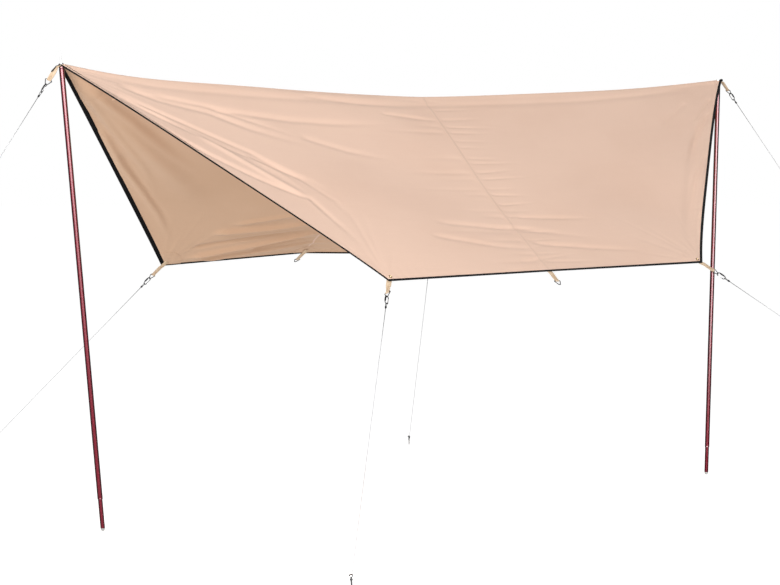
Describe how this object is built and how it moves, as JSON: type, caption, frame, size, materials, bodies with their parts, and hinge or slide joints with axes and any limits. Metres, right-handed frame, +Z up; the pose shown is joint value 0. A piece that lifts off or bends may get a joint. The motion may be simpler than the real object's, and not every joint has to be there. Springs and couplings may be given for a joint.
{
  "type": "camping tarp",
  "caption": "Six-sided ridge canopy on telescopic poles, held out by taut guy lines with webbing loops, wire rings, snap hooks and ground pegs.",
  "frame": {"origin": "middle of the flat under the left pole's foot, on the ground", "axes": "+X along the ridge from the left pole to the right pole, +Y towards the far long edge, +Z up"},
  "size_m": [7.657, 4.3292, 2.2659],
  "materials": {
    "cloth": "matt woven sheet, sand coloured",
    "binding": "black woven tape",
    "webbing": "tan woven webbing",
    "cord": "light grey braided line",
    "pole": "glossy red anodised tube",
    "metal": "bright wire and turned steel",
    "hook": "black anodised wire",
    "foot": "pale grey moulded tip"
  },
  "bodies": {
    "pitched_tarp": {"canopy_near_left": "cloth", "canopy_near_right": "cloth", "canopy_far_left": "cloth", "canopy_far_right": "cloth", "near_edge_binding": "binding", "far_edge_binding": "binding", "left_end_binding": "binding", "right_end_binding": "binding", "left_upper_tube": "pole", "left_pole_spike": "metal", "right_upper_tube": "pole", "right_pole_spike": "metal", "left_webbing": "webbing", "left_ring": "metal", "right_webbing": "webbing", "right_ring": "metal", "near_left_webbing": "webbing", "near_left_ring": "metal", "near_right_webbing": "webbing", "near_right_ring": "metal", "far_left_webbing": "webbing", "far_left_ring": "metal", "far_right_webbing": "webbing", "far_right_ring": "metal", "near_middle_webbing": "webbing", "near_middle_ring": "metal", "far_middle_webbing": "webbing", "far_middle_ring": "metal", "left_hook": "hook", "left_guy_line": "cord", "left_peg": "metal", "right_hook": "hook", "right_guy_line": "cord", "right_peg": "metal", "near_left_hook": "hook", "near_left_guy_line": "cord", "near_left_peg": "metal", "near_right_hook": "hook", "near_right_guy_line": "cord", "near_right_peg": "metal", "far_left_hook": "hook", "far_left_guy_line": "cord", "far_left_peg": "metal", "far_right_hook": "hook", "far_right_guy_line": "cord", "far_right_peg": "metal"},
    "left_lower_pole": {"left_lower_tube": "pole", "left_foot_tip": "foot"},
    "right_lower_pole": {"right_lower_tube": "pole", "right_foot_tip": "foot"},
    "left_hook_gate": {"left_gate": "metal"},
    "right_hook_gate": {"right_gate": "metal"},
    "near_left_hook_gate": {"near_left_gate": "metal"},
    "near_right_hook_gate": {"near_right_gate": "metal"},
    "far_left_hook_gate": {"far_left_gate": "metal"},
    "far_right_hook_gate": {"far_right_gate": "metal"}
  },
  "joints": [
    {"name": "left_pole_slide", "type": "slide", "parent": "pitched_tarp", "child": "left_lower_pole", "axis": [-0.0923, 0, 0.9957], "range_m": [0, 0.12]},
    {"name": "right_pole_slide", "type": "slide", "parent": "pitched_tarp", "child": "right_lower_pole", "axis": [0.0318, 0, 0.9995], "range_m": [0, 0.12]},
    {"name": "left_gate_hinge", "type": "hinge", "parent": "pitched_tarp", "child": "left_hook_gate", "pos_m": [-0.29518, 0.00636, 2.07297], "axis": [0.5787, -0.7072, -0.4062], "range_deg": [0, 25], "stiffness_Nm_per_rad": 0.003, "springref_deg": -17.19},
    {"name": "right_gate_hinge", "type": "hinge", "parent": "pitched_tarp", "child": "right_hook_gate", "pos_m": [3.97291, 0, 2.09609], "axis": [0, 1, 0], "range_deg": [0, 25], "stiffness_Nm_per_rad": 0.003, "springref_deg": -17.19},
    {"name": "near_left_gate_hinge", "type": "hinge", "parent": "pitched_tarp", "child": "near_left_hook_gate", "pos_m": [0.8561, -1.13315, 1.10729], "axis": [0.3065, -0.8436, 0.4409], "range_deg": [0, 25], "stiffness_Nm_per_rad": 0.003, "springref_deg": -17.19},
    {"name": "near_right_gate_hinge", "type": "hinge", "parent": "pitched_tarp", "child": "near_right_hook_gate", "pos_m": [2.92457, -1.08478, 1.16184], "axis": [0.7574, 0.4778, 0.4451], "range_deg": [0, 25], "stiffness_Nm_per_rad": 0.003, "springref_deg": -17.19},
    {"name": "far_left_gate_hinge", "type": "hinge", "parent": "pitched_tarp", "child": "far_left_hook_gate", "pos_m": [0.86826, 1.12522, 1.10483], "axis": [-0.8994, -0.3199, 0.298], "range_deg": [0, 25], "stiffness_Nm_per_rad": 0.003, "springref_deg": -17.19},
    {"name": "far_right_gate_hinge", "type": "hinge", "parent": "pitched_tarp", "child": "far_right_hook_gate", "pos_m": [2.7464, 1.18714, 1.1278], "axis": [-0.9362, 0.2572, -0.2396], "range_deg": [0, 25], "stiffness_Nm_per_rad": 0.003, "springref_deg": -17.19}
  ]
}
